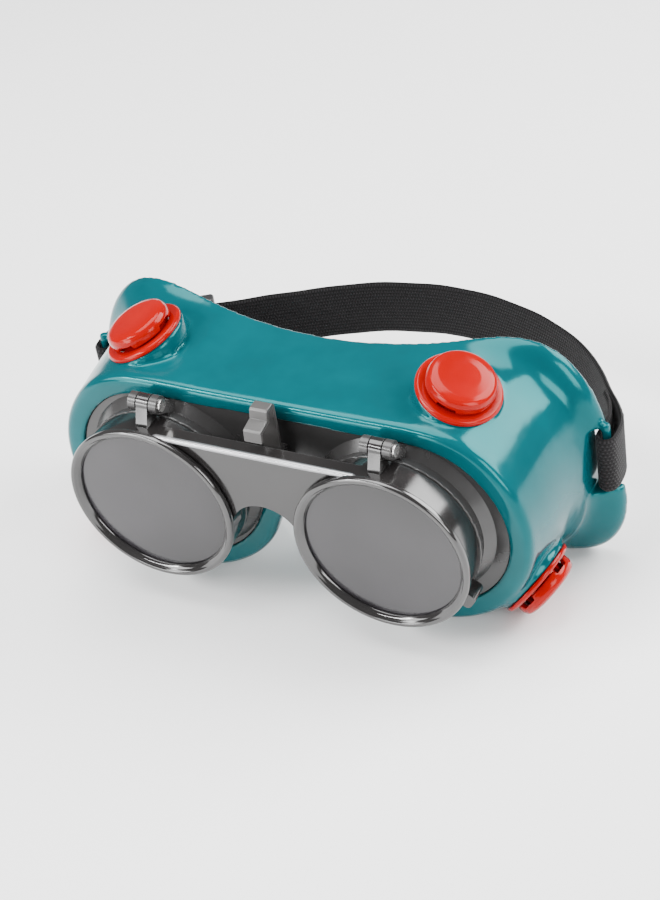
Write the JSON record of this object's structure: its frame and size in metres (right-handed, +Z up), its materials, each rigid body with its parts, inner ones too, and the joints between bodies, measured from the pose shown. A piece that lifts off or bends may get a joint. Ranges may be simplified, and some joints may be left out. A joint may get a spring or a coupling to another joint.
{
  "type": "welding goggles",
  "caption": "Soft-bodied welding goggles: a flip-up shade front hinged over round clear lenses, red side vents and an elastic headband.",
  "frame": {"origin": "centre of the overall box in X and Y, at its lowest level, where the goggles stand on the lower edge of the soft body", "axes": "+X towards the wearer's left, -Y forward through the lenses (the front), +Y back to the head, +Z up"},
  "size_m": [0.1812, 0.1174, 0.0852],
  "materials": {
    "body_pvc": "glossy soft vinyl",
    "black_gloss": "glossy moulded",
    "bezel_black": "polished",
    "catch_grey": "satin",
    "pin_steel": "drawn",
    "band_fabric": "woven elastic",
    "black_matte": "fine texture",
    "clear_glass": "polished",
    "shade_glass": "polished dark shade",
    "gasket_rubber": "matt",
    "vent_red": "glossy"
  },
  "bodies": {
    "goggle": {"goggle_body": "body_pvc", "front_plate": "black_gloss", "catch_spring": "catch_grey", "catch_screw": "pin_steel", "headband": "band_fabric", "clear_lens_left": "clear_glass", "lens_gasket_left": "gasket_rubber", "lens_ring_left": "black_gloss", "hinge_pin_left": "pin_steel", "vent_base_upper_left": "vent_red", "vent_cap_upper_left": "vent_red", "vent_base_lower_left": "vent_red", "vent_cap_lower_left": "vent_red", "clear_lens_right": "clear_glass", "lens_gasket_right": "gasket_rubber", "lens_ring_right": "black_gloss", "hinge_pin_right": "pin_steel", "vent_base_upper_right": "vent_red", "vent_cap_upper_right": "vent_red", "vent_base_lower_right": "vent_red", "vent_cap_lower_right": "vent_red"},
    "flip_front": {"flip_frame": "black_gloss", "shade_lens_left": "shade_glass", "shade_lens_right": "shade_glass", "flip_ring_left": "bezel_black", "flip_ring_right": "bezel_black"},
    "slider": {"strap_slider": "black_matte"}
  },
  "joints": [
    {"name": "flip_hinge", "type": "hinge", "parent": "goggle", "child": "flip_front", "pos_m": [0, -0.04893, 0.07161], "axis": [-1, 0, 0], "range_deg": [0, 95]},
    {"name": "slider_slide", "type": "slide", "parent": "goggle", "child": "slider", "axis": [0.8662, 0.4997, 0], "range_m": [-0.005, 0.005]}
  ]
}
